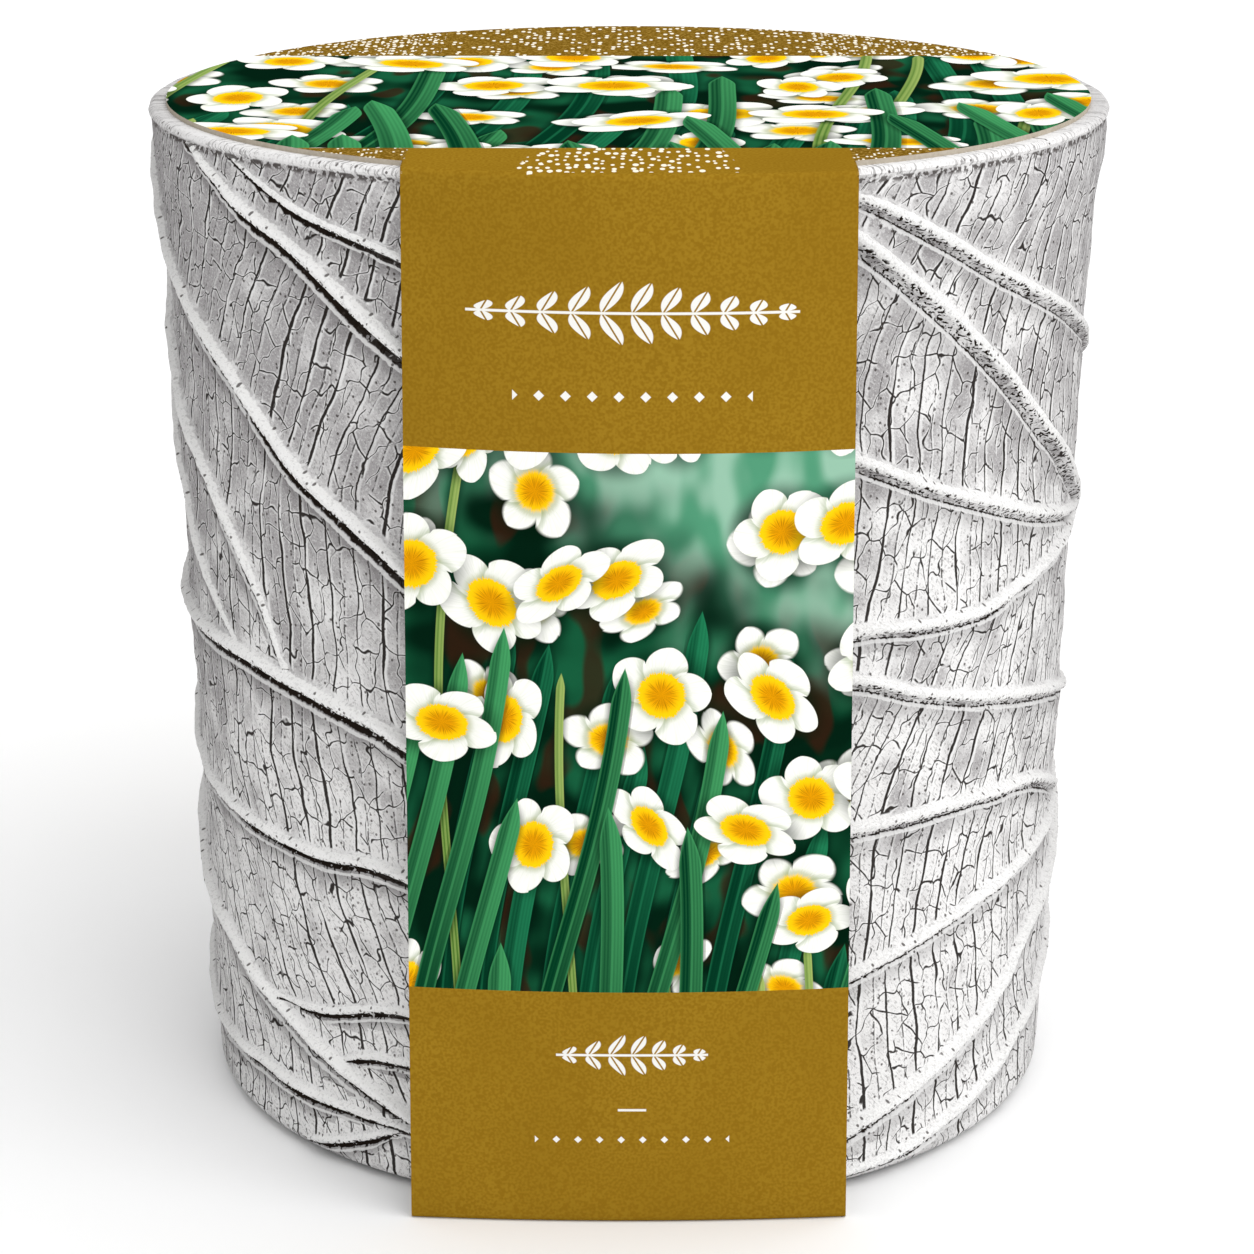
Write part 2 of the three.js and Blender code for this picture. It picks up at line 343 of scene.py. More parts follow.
def back_ribs():
    """Pairs of side ribs that rise from the midrib at the back and bend up towards the edge."""
    ribs = []
    for pair in range(8):
        for side in (-1, 1):
            root = -16 + 16.5 * (pair + (0.3 if side > 0 else 0))
            points = [
                (180 + side * 90 * t, root + 31 * t**1.25 + 2 * math.sin(4 * t + pair))
                for t in (0, 0.25, 0.5, 0.75, 1)
            ]
            kept = [point for point in points if pot_base + 1.5 < point[1] < pot_top - 2]
            if len(kept) > 2:
                ribs.append([middling if pair % 2 else broad, *kept])
    return ribs


per_degree = math.radians((foot_radius + shoulder_radius) / 2)
rib_samples = 160


def rib_line(points):
    """Evenly timed samples of the smooth curve through points, in millimetres on the unrolled wall."""
    ends = np.array([points[0], *points, points[-1]], float) * (per_degree, 1)
    time = np.linspace(0, len(points) - 1, rib_samples)
    span = np.minimum(time.astype(int), len(points) - 2)
    t = (time - span)[:, None]
    p0, p1, p2, p3 = (ends[span + k] for k in range(4))
    slope1 = (p2 - p0) / 2
    slope2 = (p3 - p1) / 2
    cubic = 2 * p1 - 2 * p2 + slope1 + slope2
    square = -3 * p1 + 3 * p2 - 2 * slope1 - slope2
    return cubic * t**3 + square * t**2 + slope1 * t + p1


def smooth_share(value, low, high):
    """0 up to low, 1 from high, and a smooth rise between."""
    t = np.clip((value - low) / (high - low), 0, 1)
    return t * t * (3 - 2 * t)


all_ribs = [*left_ribs, *right_ribs, *back_ribs(), *midribs]
rib_curves = [(size, rib_line(points)) for size, *points in all_ribs]
far_from_ribs = 12.0


def rib_section(offset, away, crest):
    """How high a rib stands at offset half widths below its crest: a steep lower flank with a
    crevice and a thin second edge under it, and a soft skirt above."""
    flank = np.where(offset > 0, smooth_share(away, 0.5, 1.3), smooth_share(away, 0.4, 1.35))
    skirt = 0.1 * (1 - smooth_share(away, 0.8, 5)) * (offset < 0)
    crevice = 0.3 * smooth_share(away, 0.9, 1.4) * smooth_share(away, 2.3, 1.7) * (offset > 0)
    second_edge = 0.16 * smooth_share(away, 2.0, 2.5) * smooth_share(away, 4.5, 2.7) * (offset > 0)
    return crest * (1 - flank) + skirt - crevice + second_edge


def rib_field(angle, level):
    """For places on the wall: how high the ribs stand there, how many half widths away the
    nearest rib is, and whether the place is on its lower side (1) or its upper side (-1)."""
    lift = np.zeros_like(angle)
    nearest = np.full_like(angle, far_from_ribs)
    side = np.zeros_like(angle)
    for (half_width, crest), line in rib_curves:
        upright = np.ptp(line[:, 1]) > 4 * np.ptp(line[:, 0])
        run_axis = 1 if upright else 0
        order = line[:, run_axis].argsort()
        run_line = line[order, run_axis]
        rise_line = line[order, 1 - run_axis]
        slope_line = np.gradient(rise_line, run_line)
        for turn in (0, 360):
            across = (angle + turn) * per_degree
            run, rise = (level, across) if upright else (across, level)
            slope = np.interp(run, run_line, slope_line)
            offset = (np.interp(run, run_line, rise_line) - rise) / np.sqrt(1 + slope**2)
            beyond = np.maximum(np.maximum(run_line[0] - run, run - run_line[-1]), 0)
            along = np.clip((run - run_line[0]) / (run_line[-1] - run_line[0]), 0, 1)
            fade = 0.45 + 0.55 * np.minimum(1, 5 * np.minimum(along, 1 - along))
            offset = offset / (half_width * fade)
            away = np.hypot(offset, beyond / half_width)
            height = fade * rib_section(offset, away, crest)
            lift = np.where(np.abs(height) > np.abs(lift), height, lift)
            closer = away < nearest
            nearest = np.where(closer, away, nearest)
            side = np.where(closer, np.clip(offset * 2, -1, 1) * (1 - smooth_share(away, 5, 7)), side)
    return lift, nearest, side


# The lesser veins run from rib to rib, a few millimetres apart. They lean as they do on each
# side of the pot: the list gives how far they lean to the right for each millimetre up.
vein_spacing = 4.1
lean_levels = (0, 12, 30, 45, 58, 75, 92, 108, 128)
lean_left = (0.1, -0.25, -0.32, -0.28, -0.1, 0.05, 0.3, 0.42, 0.5)
lean_right = (-0.15, -0.2, 0.05, 0.3, 0.42, 0.12, 0.08, 0.32, 0.48)


def vein_phase(angle, level):
    """The number of the vein at each place on the wall, whole numbers on the veins."""
    levels = np.linspace(0, 130, 261)
    drift = [
        np.interp(level, levels, np.cumsum(np.interp(levels, lean_levels, lean)) * (levels[1] - levels[0]))
        for lean in (lean_left, lean_right)
    ]
    to_right = smooth_share(np.sin(np.radians(angle)), -0.5, 0.5)
    shift = drift[0] * (1 - to_right) + drift[1] * to_right
    wave = 0.9 * np.sin(level / 9 + angle / 17) + 0.5 * np.sin(level / 4.1 - angle / 7)
    return (angle * per_degree - shift + wave) / vein_spacing


def wall_angle(places):
    """Degrees round the pot, 0 at the front and rising to the right."""
    return np.degrees(np.arctan2(places[:, 0], -places[:, 1]))


def face_centres(piece):
    """The middle of each of the piece's faces in millimetres."""
    centres = np.empty(len(piece.data.polygons) * 3, np.float32)
    piece.data.polygons.foreach_get("center", centres)
    return centres.reshape(-1, 3).astype(float) / mm


def select_faces(piece, chosen):
    """Selects only the chosen faces, for the operator that comes next."""
    for group in (piece.data.vertices, piece.data.edges):
        group.foreach_set("select", np.zeros(len(group), bool))
    piece.data.polygons.foreach_set("select", chosen)
    piece.data.update()


def on_outer_wall(places):
    """Whether each place is on the pot's outside, between its foot and its neck."""
    radius = np.hypot(places[:, 0], places[:, 1])
    outside = radius > wall_radius(places[:, 2]) - 1
    return outside & (places[:, 2] > pot_base + 1.2) & (places[:, 2] < neck_height + 0.3)


pot = spin_profile("pot_casting", pot_profile, pot_columns)
centres = face_centres(pot)
_, near_rib, _ = rib_field(wall_angle(centres), centres[:, 2])
behind_strips = np.abs(centres[:, 0]) < 20
select_faces(pot, on_outer_wall(centres) & (near_rib < 1.75) & ~behind_strips)
bpy.ops.object.mode_set(mode="EDIT")
bpy.ops.mesh.select_mode(type="FACE")
bpy.ops.mesh.subdivide(number_cuts=2, ngon=False)
bpy.ops.object.mode_set(mode="OBJECT")

places = vertex_places(pot)
angle = wall_angle(places)
level = places[:, 2]
outer = on_outer_wall(places)
lift, near_rib, rib_side = rib_field(angle, level)
phase = vein_phase(angle, level)
swell = np.array([noise.fractal(Vector(place) / 11, 0.6, 2.0, 3) for place in places])
rough = lumps(places, 1.7)
pillow = 0.17 * np.abs(np.sin(math.pi * phase)) ** 0.8 - 0.12
panel = 0.32 * swell + pillow * smooth_share(near_rib, 1.8, 5)
above_foot = smooth_share(level, pot_base + 1.2, pot_base + 3.5)
end_fade = above_foot * smooth_share(level, neck_height, neck_height - 2)
radius = np.hypot(places[:, 0], places[:, 1])
on_lip = (radius > mouth_radius + 1.5) & (level > neck_height)
stand = np.where(outer, lift + (panel + 0.05 * rough) * end_fade, 0)
stand = np.where(on_lip, 0.06 * rough + 0.22 * swell, stand)
true_radius = np.where(outer, wall_radius(level) + stand, radius + stand)
turned = np.radians(angle)
places = np.stack([true_radius * np.sin(turned), -true_radius * np.cos(turned), level], 1)
move_vertices(pot, places)

# The inside wall is plain, so it takes none of the ribs' wash or stain.
inside = (radius < mouth_radius + 0.6) & (level > pot_floor - 1)
near_rib[inside] = far_from_ribs
rib_side[inside] = 0
for attribute_name, values in (("rib", near_rib), ("side", rib_side)):
    attribute = pot.data.attributes.new(attribute_name, "FLOAT", "POINT")
    attribute.data.foreach_set("value", values.astype(np.float32))


def store_wall(piece):
    """Stores on each corner where it is on the unrolled wall, with its vein number as z. The
    wall is cut open at the back, where the corners of one face have to keep together."""
    mesh = piece.data
    loops = np.empty(len(mesh.loops), np.int32)
    starts = np.empty(len(mesh.polygons), np.int32)
    mesh.loops.foreach_get("vertex_index", loops)
    mesh.polygons.foreach_get("loop_start", starts)
    corner_angle = wall_angle(vertex_places(piece))[loops]
    corner_level = vertex_places(piece)[loops, 2]
    face_of = np.repeat(np.arange(len(starts)), np.diff(np.append(starts, len(loops))))
    low = np.minimum.reduceat(corner_angle, starts)
    high = np.maximum.reduceat(corner_angle, starts)
    split = (high - low > 180)[face_of]
    corner_angle = np.where(split & (corner_angle < 0), corner_angle + 360, corner_angle)
    wall = np.stack([corner_angle * per_degree, corner_level, vein_phase(corner_angle, corner_level)], 1)
    attribute = mesh.attributes.new("wall", "FLOAT_VECTOR", "CORNER")
    attribute.data.foreach_set("vector", wall.astype(np.float32).ravel())


store_wall(pot)
bpy.ops.object.shade_smooth_by_angle(angle=math.radians(60))


def stored(tree, name, kind="Vector"):
    """What is stored on the piece under a name: a vector, or a number with kind Fac."""
    return add_node(tree, "Attribute", {}, attribute_name=name).outputs[kind]


def joined(x, y, z=0.0):
    """Three fields as one vector."""
    return add_node(x.socket.id_data, "CombineXYZ", {0: x, 1: y, 2: z}).outputs[0]


def cells(place, size, feature="F1", randomness=1.0, dimensions="3D"):
    """A Voronoi pattern with cells of that size in the units of the place."""
    inputs = {"Vector": place, "Scale": 1 / size, "Randomness": randomness}
    settings = {"feature": feature, "voronoi_dimensions": dimensions}
    return add_node(place.id_data, "TexVoronoi", inputs, **settings).outputs


def chance(place):
    """A random number from 0 to 1, the same one each time for the same place."""
    made = add_node(place.id_data, "TexWhiteNoise", {"Vector": place}, noise_dimensions="3D")
    return Field(made.outputs["Value"])


def add_bump(tree, shader, height, depth=1 * mm, strength=1.0):
    """Turns a height field, in units of depth, into the shader's normal."""
    inputs = {"Height": height, "Distance": depth, "Strength": strength}
    feed(shader.inputs["Normal"], add_node(tree, "Bump", inputs).outputs[0])


def vein_row(phase, up, ragged, shift, widest, thinnest, shy):
    """One row of veins, shift of a spacing over from the whole numbers. Gives the crack, dark and
    uneven in width, how far over from it each place is, and how strong its vein is. The more
    shy the row is, the more of it is missing."""
    number = (phase + (0.5 - shift)).step("FLOOR")
    over = (phase - shift - number) * vein_spacing + (ragged - 0.5) * 0.16
    strength = chance(joined(number, number * 0.37, shift))
    taper = grain(joined(number * 7.3 + shift, up * 0.13), 1.0, 1, dimensions="2D")
    width = thinnest + ramp(strength, 0.15, 0.75) * widest * ramp(taper, 0.3, 0.55)
    shown = ramp(taper + strength * 0.24, shy, shy + 0.06)
    crack = ramp(abs(over), width + 0.04, width * 0.7) * shown
    return crack, over, strength * shown


def make_whitewash():
    """Wiped whitewash over dark stained casting, with fine cracks, pits and scratches, and painted shade
    and light in its colour.
    """
    material, tree, shader = new_material("whitewashed_casting")
    spot, _ = object_place(tree)
    around, up, phase = parted(stored(tree, "wall"))
    rib = Field(stored(tree, "rib", "Fac"))
    side = Field(stored(tree, "side", "Fac"))
    to_left = ramp(around, 10, -35)
    coarse = grain(spot, 6, 1)
    ragged = grain(spot, 0.62, 1, 0.65)
    fine_grain = grain(spot, 0.28, 1, 0.75)
    below = ramp(side, 0.1, 0.45)
    above = ramp(side, 0.1, -0.5)
    wobble = rib + (ragged - 0.5) * 0.5 + (coarse - 0.5) * 0.3
    wall_only = ramp(up, neck_height + 0.2, neck_height - 0.6) * ramp(rib, 1.2, 1.8)
    unrolled = joined(around, up)
    phase = phase + (grain(unrolled, 7, 1, dimensions="2D") - 0.5) * 0.3
    white = (0.86, 0.855, 0.85, 1)
    stipple_grey = (0.22, 0.21, 0.208, 1)
    dark_stain = (0.018, 0.013, 0.01, 1)

    # Pale grey with a darker stipple. It is painted paler towards the foot, standing in for light bounced
    # up from the floor, and painted darker on the left, more so higher up, as shade on the side away from
    # the light.
    wash_and_painted_light = ramp(coarse - up * 0.003 - to_left * (0.02 + up * 0.0012), 0.0, 0.42)
    panel = mixed(wash_and_painted_light, (0.38, 0.366, 0.37, 1), (0.79, 0.78, 0.775, 1))
    # Painted shade: a band down each side of the wall, where it turns away towards the back, is darkened.
    painted_side_shade = ramp(abs(around), 50, 82) * ramp(abs(around), 130, 95)
    stipple = ramp(grain(spot, 0.4, 1, 0.75), 0.55, 0.66)
    panel = mixed(stipple * 0.5, panel, stipple_grey)
    panel = mixed(ramp(fine_grain, 0.52, 0.66) * 0.35, panel, white)

    # Scratches lie aslant, as the wipe went.
    streak = grain(joined(around + up * 0.9, (up - around * 0.9) * 0.12), 0.32, 1, 0.6, "2D")
    panel = mixed(ramp(streak, 0.62, 0.72) * 0.35, panel, stipple_grey)

    # A net of many-sided cells between the veins, each line with a pale edge.
    wander = (grain(unrolled, 1.8, 0, dimensions="2D") - 0.5) * 1.2
    laid_out = joined(phase * vein_spacing + wander, up * 0.85 - wander)
    edge = Field(cells(laid_out, 3.3, "DISTANCE_TO_EDGE", 0.9, "2D")["Distance"]) * 3.3
    broken = ramp(grain(unrolled, 2.6, 0, dimensions="2D"), 0.3, 0.4)
    net = ramp(edge + (ragged - 0.5) * 0.1, 0.13, 0.05) * broken
    panel = mixed(ramp(edge, 0.34, 0.16) * broken * 0.5, panel, white)

    # The veins: strong ones a spacing apart, each with a pale band beside it, and thin ones
    # between.
    strong_row = {"shift": 0.0, "widest": 0.16, "thinnest": 0.09, "shy": 0.34}
    thin_row = {"shift": 0.52, "widest": 0.07, "thinnest": 0.06, "shy": 0.5}
    strong, over, strength = vein_row(phase, up, ragged, **strong_row)
    thin, thin_over, thin_strength = vein_row(phase, up, ragged, **thin_row)
    beads = ramp(ragged, 0.4, 0.5)
    ridge = ramp(over, 0.06, 0.2) * ramp(over, 0.75, 0.45) * (0.35 + strength * 0.65)
    far_ridge = ramp(over, -0.12, -0.22) * ramp(over, -0.5, -0.3) * strength * 0.6
    thin_ridge = ramp(thin_over, 0.04, 0.14) * ramp(thin_over, 0.42, 0.28) * thin_strength
    ridges = larger(ridge, far_ridge, thin_ridge * 0.7) * wall_only
    panel = mixed(ridges * 0.9, panel, white)
    clear_of_skirt = 1.0 - above * ramp(rib, 1.8, 1.3)
    cracks = larger(strong, thin * beads * 0.85, net) * wall_only * clear_of_skirt

    # The wash is thick on the ribs and thins out above them, and their lower side is in shade.
    skirt = above * ramp(wobble + (stipple - 0.5) * 0.6, 2.4, 1.0)
    colour = mixed(skirt * 0.28, panel, white)
    soft_shade = below * ramp(rib, 1.5, 2.4) * ramp(rib, 6.5, 2.8) * (0.35 + to_left * 0.3)
    colour = mixed(soft_shade, colour, (0.17, 0.16, 0.162, 1))
    colour = mixed(cracks * 0.97, colour, (0.016, 0.012, 0.01, 1))
    edge_of_wash = 1.05 - below * 0.35
    crest = ramp(wobble, edge_of_wash + 0.08, edge_of_wash - 0.08)
    worn = stipple * 0.3 + ramp(fine_grain, 0.45, 0.6) * (1.0 - to_left) * 0.22
    colour = mixed(crest, colour, mixed(worn, (0.87, 0.865, 0.855, 1), (0.4, 0.39, 0.388, 1)))
    second_edge = below * ramp(abs(wobble - 2.3 - to_left * 0.5), 0.4, 0.2)
    colour = mixed(second_edge * 0.8, colour, (0.78, 0.775, 0.77, 1))

    # Stain fills the crevice under each rib, whole on the left. On the right the wipe left it as
    # fine flecks over a thin line.
    flecks = grain(spot, 0.7, 1, 0.7)
    fine_flecks = grain(spot, 0.46, 1, 0.6)
    core_end = 2.0 + ramp(up, 30, 75) * 0.3
    in_crevice = ramp(wobble, 0.75, 0.9) * ramp(wobble, core_end + 0.2, core_end)
    core = in_crevice * ramp(flecks, 0.3, 0.36) * to_left
    line_under = ramp(abs(wobble - 1.8), 0.2, 0.08) * ramp(flecks, 0.38, 0.46)
    scatter = ramp(wobble, 0.1, 0.5) * ramp(wobble, 1.9, 1.4) * ramp(fine_flecks + flecks * 0.8, 0.97, 1.0)
    stain = larger(core, scatter, line_under) * below
    colour = mixed(stain, colour, dark_stain)

    # Pits everywhere, and a dark pitted line under the lip, which is hatched by the wipe in places.
    pit_cells = cells(unrolled, 0.8, dimensions="2D")
    pitted = ramp(parted(pit_cells["Color"])[0], 0.86, 0.9)
    pit = ramp(Field(pit_cells["Distance"]), 0.28, 0.14) * pitted
    on_lip = ramp(up, neck_height - 0.1, neck_height + 0.3)
    strokes = ramp(grain(joined(around, up * 0.3), 0.4, 1, 0.7, "2D"), 0.54, 0.62)
    hatch = strokes * ramp(coarse, 0.4, 0.55)
    lip = mixed(hatch * 0.7 + stipple * 0.3, (0.8, 0.79, 0.785, 1), (0.3, 0.29, 0.288, 1))
    colour = mixed(on_lip, colour, lip)
    # Painted shade down the sides of the wall.
    colour = mixed(painted_side_shade * 0.3, colour, (0.16, 0.15, 0.152, 1))
    under_lip = ramp(up, neck_height - 0.9, neck_height - 0.3)
    lip_pits = under_lip * ramp(up, neck_height + 0.2, neck_height) * ramp(flecks, 0.46, 0.53)
    colour = mixed(larger(pit, lip_pits) * 0.85, colour, (0.045, 0.036, 0.032, 1))
    feed(shader.inputs["Base Color"], colour)
    feed(shader.inputs["Roughness"], 0.76 + fine_grain * 0.2)
    shader.inputs["Specular IOR Level"].default_value = 0.0

    add_bump(tree, shader, fine_grain * 0.13)
    return material


def show(piece, node_names):
    """Rides the piece on the planter's one body and lets it stand for its solids."""
    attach(piece, "root")
    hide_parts(*node_names)


pot.data.materials.append(make_whitewash())
show(pot, ["pot"])

# The growing medium.
# A plug of brown coir and bark compost, which fills the pot to well below its rim. It is
# tipped in and firmed by hand round the bulbs, so its top is crumbly and a little domed.
medium_low, medium_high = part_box("growing_medium")
medium_foot = medium_low.z / mm
medium_top = medium_high.z / mm - 1.6
bulb_names = [f"bulb_{number}" for number in range(1, 6)]
bulb_radius = 12
bulb_boxes = [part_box(name) for name in bulb_names]
bulb_places = [
    ((low.x + high.x) / 2 / mm, (low.y + high.y) / 2 / mm)
    for low, high in bulb_boxes
]
bulb_foot = bulb_boxes[0][0].z / mm
bulb_tip = bulb_boxes[0][1].z / mm


def cavity_radius(level):
    """The radius of the pot's inside at a height."""
    share = (level - pot_floor - 5) / (pot_top - 0.8 - pot_floor - 5)
    return cavity_foot + (mouth_radius - cavity_foot) * share


medium_profile = [
    (0.001, medium_foot, 12),
    (cavity_foot - 5.5, medium_foot, 12),
    (cavity_foot - 2, medium_foot + 2, 3),
    (cavity_foot - 0.5, medium_foot + 6, 4),
    (cavity_radius(medium_top) - 0.9, medium_top - 1.5, 6),
    (cavity_radius(medium_top) - 3, medium_top, 0.9),
    (41, medium_top + 0.4, 0.8),
    (0.001, medium_top + 0.9, 0.8),
]
medium = spin_profile("compost", medium_profile, 180)
for number, (x, y) in enumerate(bulb_places):
    hole_depth = medium_top + 8 - bulb_foot
    bpy.ops.mesh.primitive_cylinder_add(
        vertices=48,
        radius=(bulb_radius + 0.7) * mm,
        depth=hole_depth * mm,
        location=(x * mm, y * mm, (bulb_foot - 0.3 + hole_depth / 2) * mm),
    )
    hole = bpy.context.object
    bpy.ops.object.select_all(action="DESELECT")
    medium.select_set(True)
    bpy.context.view_layer.objects.active = medium
    cut = medium.modifiers.new("hole", "BOOLEAN")
    cut.operation = "DIFFERENCE"
    cut.solver = "EXACT"
    cut.object = hole
    bpy.ops.object.modifier_apply(modifier="hole")
    bpy.data.objects.remove(hole)

places = vertex_places(medium)
crumbly = places[:, 2] > medium_top - 0.6
to_bulb = np.min([np.hypot(places[:, 0] - x, places[:, 1] - y) for x, y in bulb_places], axis=0)
from_axis = np.hypot(places[:, 0], places[:, 1])
edge_radius = cavity_radius(medium_top)
free = smooth_share(to_bulb, bulb_radius + 0.8, bulb_radius + 2.2) * crumbly
free *= smooth_share(from_axis, edge_radius - 1.5, edge_radius - 4)
crumbs = lumps(places, 2.1) + 0.6 * lumps(places, 0.9)
places[:, 2] += free * np.clip(crumbs * 1.3, -1.6, 0.7)
move_vertices(medium, places)
bpy.ops.object.shade_smooth_by_angle(angle=math.radians(40))


def make_compost():
    """Dark brown fibres and crumbs with paler bark chips and a few white grains."""
    material, tree, shader = new_material("bulb_compost")
    spot, (x, y, z) = object_place(tree)
    crumb = grain(spot, 1.6, 4, 0.65)
    fibre = grain(joined(x * 0.35, y * 1.6, z), 0.9, 3, 0.6)
    chips = cells(spot, 3.4)
    chip = ramp(Field(chips["Distance"]), 0.42, 0.3) * ramp(parted(chips["Color"])[0], 0.72, 0.78)
    grit = cells(spot, 2.3)
    white = ramp(Field(grit["Distance"]), 0.2, 0.13) * ramp(parted(grit["Color"])[1], 0.93, 0.95)
    damp_brown = (0.012, 0.007, 0.004, 1)
    brown = (0.085, 0.045, 0.022, 1)
    coir = (0.2, 0.11, 0.05, 1)
    bark = (0.13, 0.06, 0.03, 1)
    grit_white = (0.7, 0.68, 0.62, 1)
    colour = mixed(ramp(crumb, 0.3, 0.7), damp_brown, brown)
    colour = mixed(ramp(fibre, 0.62, 0.72) * 0.8, colour, coir)
    colour = mixed(chip * 0.8, colour, bark)
    colour = mixed(white, colour, grit_white)
    feed(shader.inputs["Base Color"], colour)
    shader.inputs["Roughness"].default_value = 0.95
    add_bump(tree, shader, crumb * 1.2 + fibre * 0.4 + chip * 0.5)
    return material


medium.data.materials.append(make_compost())
show(medium, ["growing_medium"])

# The bulbs.
# Five small dry bulbs, each a plump body in papery brown skins that draws in to a neck of dry
# leaf ends, on a flat plate with cut root stubs. They are pressed into the medium by hand.
bulb_rises = (0, 0.07, 0.22, 0.36, 0.52, 0.68, 0.8, 0.92)
bulb_radii = (0.3, 0.66, 0.94, 1, 0.9, 0.62, 0.34, 0.22)


def bulb_share(rise):
    """The bulb's radius at a share of its height, as a share of its full radius."""
    nearby = [rise + shift for shift in (-0.05, -0.02, 0, 0.02, 0.05)]
    return np.mean(np.interp(nearby, bulb_rises, bulb_radii))


def model_bulb(number):
    """One bulb in its place, with its skins' ribs, creases and ragged neck moved in."""
    length = bulb_tip - bulb_foot
    profile = [(0.001, bulb_foot, 1)]
    for rise in np.linspace(0.0, 0.97, 40):
        profile.append((bulb_radius * bulb_share(rise) * 0.985, bulb_foot + length * rise, 2))
    profile.append((bulb_radius * 0.1, bulb_foot + length * 0.985, 2))
    profile.append((0.001, bulb_foot + length * 0.98, 2))
    made = spin_profile(f"narcissus_bulb_{number + 1}", profile, 72)
    places = vertex_places(made)
    turn = np.arctan2(places[:, 0], places[:, 1])
    rise = (places[:, 2] - bulb_foot) / length
    reach = np.hypot(places[:, 0], places[:, 1])
    twist = turn + 0.25 * rise + number
    ribs = 0.16 * np.sin(19 * twist) + 0.1 * np.sin(31 * twist + 2)
    skin_edge = 0.35 * (np.sin(3 * twist + 5 * rise) > 0.55)
    neck = smooth_share(rise, 0.62, 0.85)
    folds = 0.396 * np.sin(9 * twist) * neck
    body = smooth_share(rise, 0.04, 0.2) * smooth_share(rise, 0.99, 0.9)
    scale = 1 + (ribs + skin_edge + folds - 0.3) * body / np.maximum(reach, 4)
    places[:, 0] *= scale
    places[:, 1] *= scale
    rim = [Vector((math.sin(t), math.cos(t), number)) * 2.5 for t in turn]
    ragged_end = smooth_share(rise, 0.8, 0.95) * np.array([noise.noise(place) for place in rim])
    places[:, 2] += np.minimum(1.6 * ragged_end, 0.45)
    places[:, 0] += bulb_places[number][0]
    places[:, 1] += bulb_places[number][1]
    move_vertices(made, places)
    bpy.ops.object.shade_smooth_by_angle(angle=math.radians(50))
    return made


def make_tunic():
    """Thin papery skins, brown and streaked lengthwise, paler where a skin has flaked."""
    material, tree, shader = new_material("papery_tunic")
    spot, (x, y, z) = object_place(tree)
    streak = grain(joined(x, y, z * 0.12), 0.8, 3, 0.6)
    flake = ramp(grain(joined(x, y, z * 0.5), 5, 3, 0.6), 0.56, 0.6)
    neck = ramp(z, bulb_foot + 22, bulb_tip)
    dark_skin = (0.12, 0.045, 0.015, 1)
    papery_skin = (0.36, 0.18, 0.07, 1)
    fresh_skin = (0.55, 0.36, 0.18, 1)
    dry_neck = (0.5, 0.38, 0.22, 1)
    colour = mixed(ramp(streak, 0.3, 0.7), dark_skin, papery_skin)
    colour = mixed(flake * 0.7, colour, fresh_skin)
    colour = mixed(neck * 0.7, colour, dry_neck)
    feed(shader.inputs["Base Color"], colour)
    feed(shader.inputs["Roughness"], 0.45 + streak * 0.3)
    add_bump(tree, shader, streak * 0.5 + flake * 0.25)
    return material


tunic = make_tunic()
for number, name in enumerate(bulb_names):
    bulb = model_bulb(number)
    bulb.data.materials.append(tunic)
    show(bulb, [name])

# The card sleeve.
# One sheet of thin card, printed outside and raw inside. It is die-cut, creased and folded
# over the pot's mouth, front and back, and its ends are glued edge to edge under the base.
_, sleeve_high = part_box("card_sleeve")
card = 0.6
sleeve_top = sleeve_high.z / mm
lid_radius = 57.8
strip_top_width = 50.8
strip_foot_width = 52.8
fold_distance = 61
foot_distance = 57.2
fold_sag = 3.6
foot_sag = 1.2
crown_shift = 4.4
crease = 0.8
strip_columns = 20
wing_columns = 14
window_low = 30.6
window_high = 97.0
lid_window_front = -43.5
lid_window_rear = 28.8
share = np.linspace(-1, 1, strip_columns + 1)
top_x = share * strip_top_width / 2
lid_arc = np.sqrt(lid_radius**2 - top_x**2)
lid_start = lid_arc[0]


def strip_width(level):
    """The strip's width at a height."""
    return strip_foot_width + (strip_top_width - strip_foot_width) * level / sleeve_top


def strip_face(x, level, shift):
    """How far out from the middle the strip's face is, at a place across it and a height."""
    across = (x - shift * level / sleeve_top) / (strip_width(level) / 2)
    distance = foot_distance + (fold_distance - foot_distance) * level / sleeve_top
    sag = foot_sag + (fold_sag - foot_sag) * level / sleeve_top
    return distance - sag * across**2


def snapped(places, borders):
    """The places, with the nearest one to each border moved onto it."""
    for border in borders:
        places[np.abs(places - border).argmin()] = border
    return places


